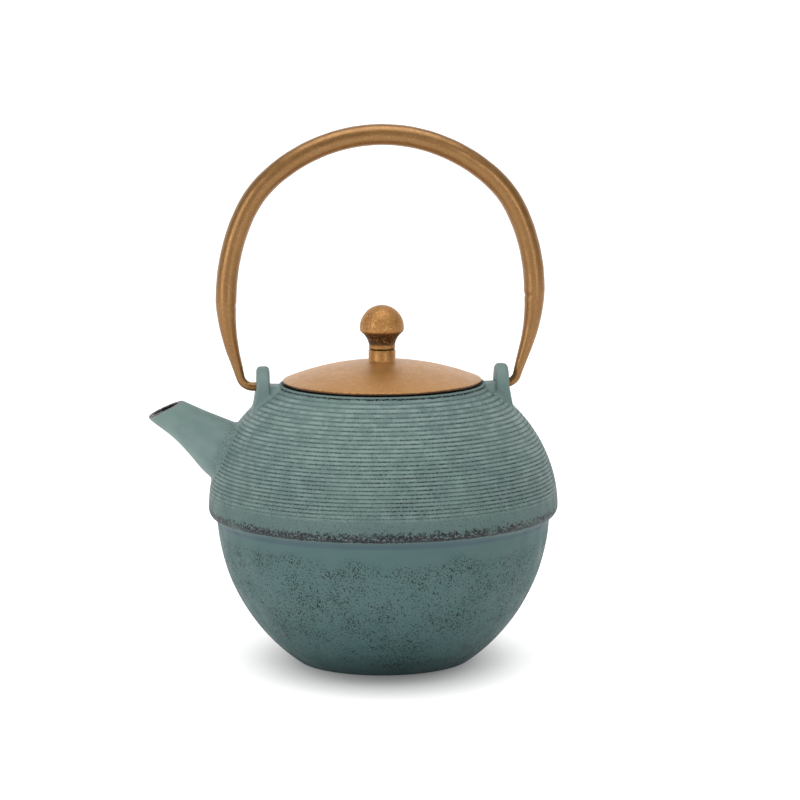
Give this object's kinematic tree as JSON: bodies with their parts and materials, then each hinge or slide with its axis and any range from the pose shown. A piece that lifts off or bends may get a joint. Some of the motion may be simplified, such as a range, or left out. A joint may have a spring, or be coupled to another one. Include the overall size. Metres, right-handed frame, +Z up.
{
  "type": "cast iron teapot",
  "caption": "Round cast iron teapot with a ribbed dome, short side spout, two lugs with a swinging tube bail, a knobbed lid and a hanging steel infuser.",
  "frame": {"origin": "centre of the flat foot, on the surface that the pot stands on", "axes": "+Z up through the knob; the spout points along -X; the bail's hinge line runs along X through both lugs"},
  "size_m": [0.1764, 0.1506, 0.2309],
  "materials": {
    "pot_iron": "matte grey-green paint, worn to dark iron on edges, enamelled inside",
    "bronze_paint": "satin bronze paint with a fine grain",
    "fastener_steel": "plain zinc-plated steel",
    "infuser_steel": "brushed perforated stainless steel"
  },
  "bodies": {
    "pot": {"pot_body": "pot_iron"},
    "bail": {"bail_tube": "bronze_paint"},
    "infuser": {"infuser_rim": "infuser_steel", "infuser_wall": "infuser_steel", "infuser_base_ring": "infuser_steel", "infuser_floor": "infuser_steel"},
    "lid": {"lid_dome": "bronze_paint", "lid_knob": "bronze_paint", "knob_screw": "fastener_steel", "knob_washer": "fastener_steel"}
  },
  "joints": [
    {"name": "bail_swing", "type": "hinge", "parent": "pot", "child": "bail", "pos_m": [0, 0, 0.119], "axis": [1, 0, 0], "range_deg": [-122, 122]},
    {"name": "infuser_lift", "type": "slide", "parent": "pot", "child": "infuser", "axis": [0, 0, 1], "range_m": [0, 0.06]},
    {"name": "lid_lift", "type": "slide", "parent": "infuser", "child": "lid", "axis": [0, 0, 1], "range_m": [0, 0.06]}
  ]
}
